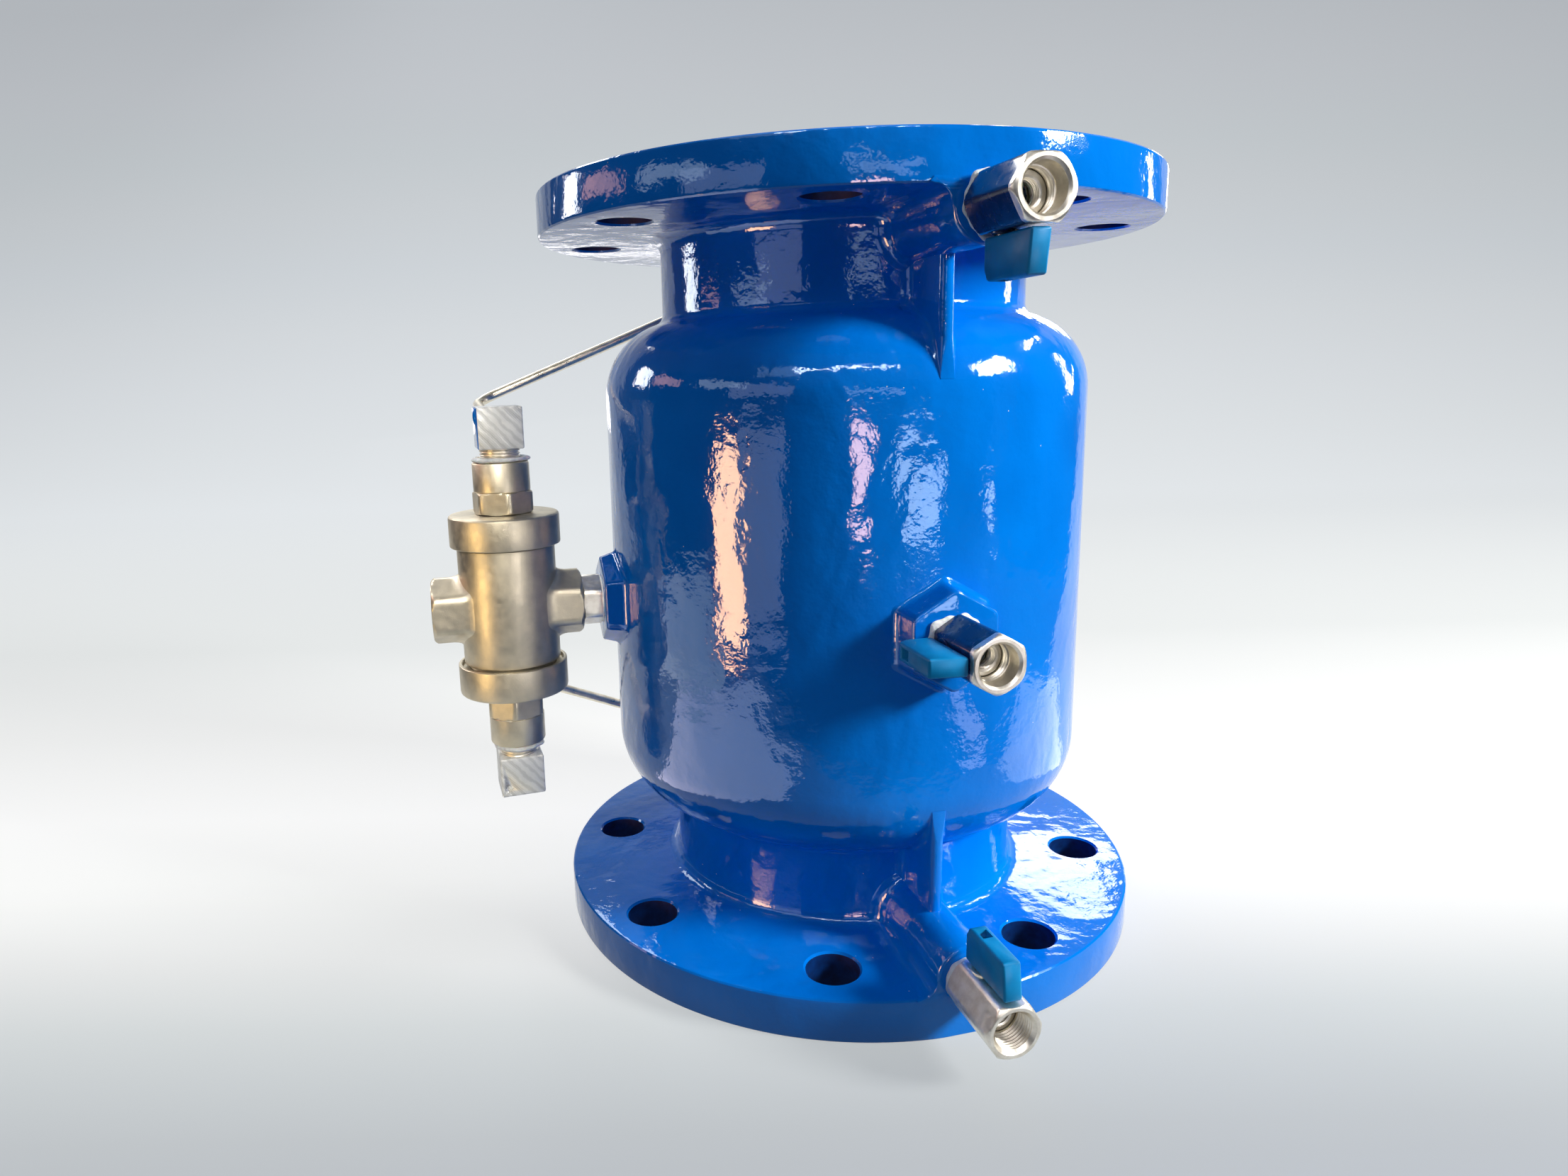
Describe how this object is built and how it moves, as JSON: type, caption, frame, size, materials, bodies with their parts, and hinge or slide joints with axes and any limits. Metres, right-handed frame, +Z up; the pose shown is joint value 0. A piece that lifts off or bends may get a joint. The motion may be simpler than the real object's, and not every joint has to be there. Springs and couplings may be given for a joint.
{
  "type": "backflow preventer",
  "caption": "Flanged in-line backflow preventer: round-shouldered casting with sprung check valves, ball test cocks at the front and a piloted relief valve at its side on thin sense lines.",
  "frame": {"origin": "middle of the bounding box at the height of the outlet flange's face, which is the lowest face", "axes": "+Z up along the bore, out of the inlet flange's face and against the flow; -Y out of the test cocks; -X out of the relief valve's drain port"},
  "size_m": [0.3432, 0.3204, 0.346],
  "materials": {
    "blue_enamel": "thick glossy blue enamel over cast iron",
    "navy_paint": "thin dark blue spray over nickel-plated brass",
    "bronze": "machined bronze",
    "stainless": "polished stainless steel",
    "cast_stainless": "bead-blasted cast stainless steel",
    "sawn_aluminium": "sawn aluminium bar",
    "nickel_plate": "nickel-plated brass",
    "black_rubber": "moulded black rubber",
    "white_ptfe": "white fluoropolymer",
    "blue_plastic": "teal-blue moulded plastic"
  },
  "bodies": {
    "casting": {"valve_body": "blue_enamel", "inlet_check_seat_ring": "bronze", "inlet_check_gasket": "black_rubber", "inlet_check_cage": "stainless", "inlet_check_bush": "bronze", "inlet_check_spring": "stainless", "outlet_check_seat_ring": "bronze", "outlet_check_gasket": "black_rubber", "outlet_check_cage": "stainless", "outlet_check_bush": "bronze", "outlet_check_spring": "stainless", "top_cock_body": "navy_paint", "top_cock_retainer": "nickel_plate", "top_cock_seat": "white_ptfe", "mid_cock_body": "navy_paint", "mid_cock_retainer": "nickel_plate", "mid_cock_seat": "white_ptfe", "bottom_cock_body": "nickel_plate", "bottom_cock_retainer": "nickel_plate", "bottom_cock_seat": "white_ptfe", "relief_body": "cast_stainless", "relief_upper_cap": "cast_stainless", "relief_lower_cap": "cast_stainless", "relief_spring": "stainless", "relief_nipple": "stainless", "upper_adapter": "cast_stainless", "upper_elbow": "sawn_aluminium", "upper_tube_nut": "stainless", "upper_sense_tube": "stainless", "upper_connector": "stainless", "lower_adapter": "cast_stainless", "lower_elbow": "sawn_aluminium", "lower_tube_nut": "stainless", "lower_sense_tube": "stainless", "lower_connector": "stainless"},
    "top_cock_lever": {"top_cock_ball": "stainless", "top_cock_stem": "stainless", "top_cock_handle": "blue_plastic", "top_cock_screw": "stainless"},
    "mid_cock_lever": {"mid_cock_ball": "stainless", "mid_cock_stem": "stainless", "mid_cock_handle": "blue_plastic", "mid_cock_screw": "stainless"},
    "bottom_cock_lever": {"bottom_cock_ball": "stainless", "bottom_cock_stem": "stainless", "bottom_cock_handle": "blue_plastic", "bottom_cock_screw": "stainless"},
    "inlet_check_poppet": {"inlet_check_disc": "stainless", "inlet_check_disc_seal": "black_rubber", "inlet_check_seal_plate": "stainless", "inlet_check_stem_nut": "stainless"},
    "outlet_check_poppet": {"outlet_check_disc": "stainless", "outlet_check_disc_seal": "black_rubber", "outlet_check_seal_plate": "stainless", "outlet_check_stem_nut": "stainless"},
    "relief_shuttle": {"relief_piston": "stainless", "relief_disc_seal": "black_rubber", "relief_upper_ring": "black_rubber", "relief_lower_piston": "stainless", "relief_lower_ring": "black_rubber"}
  },
  "joints": [
    {"name": "top_cock_turn", "type": "hinge", "parent": "casting", "child": "top_cock_lever", "pos_m": [0.02905, -0.13615, 0.32], "axis": [0, 0, -1], "range_deg": [0, 90]},
    {"name": "mid_cock_turn", "type": "hinge", "parent": "casting", "child": "mid_cock_lever", "pos_m": [0.02905, -0.11765, 0.1605], "axis": [-1, 0, 0], "range_deg": [0, 90]},
    {"name": "bottom_cock_turn", "type": "hinge", "parent": "casting", "child": "bottom_cock_lever", "pos_m": [0.02905, -0.13615, 0.026], "axis": [0, 0, 1], "range_deg": [0, 90]},
    {"name": "inlet_check_travel", "type": "slide", "parent": "casting", "child": "inlet_check_poppet", "axis": [0, 0, -1], "range_m": [0, 0.025], "stiffness_N_per_m": 1000, "springref_m": -0.04, "deforming": ["inlet_check_spring"]},
    {"name": "outlet_check_travel", "type": "slide", "parent": "casting", "child": "outlet_check_poppet", "axis": [0, 0, -1], "range_m": [0, 0.025], "stiffness_N_per_m": 1000, "springref_m": -0.04, "deforming": ["outlet_check_spring"]},
    {"name": "relief_travel", "type": "slide", "parent": "casting", "child": "relief_shuttle", "axis": [0, 0, -1], "range_m": [0, 0.0035], "stiffness_N_per_m": 3000, "springref_m": -0.005, "deforming": ["relief_spring"]}
  ]
}
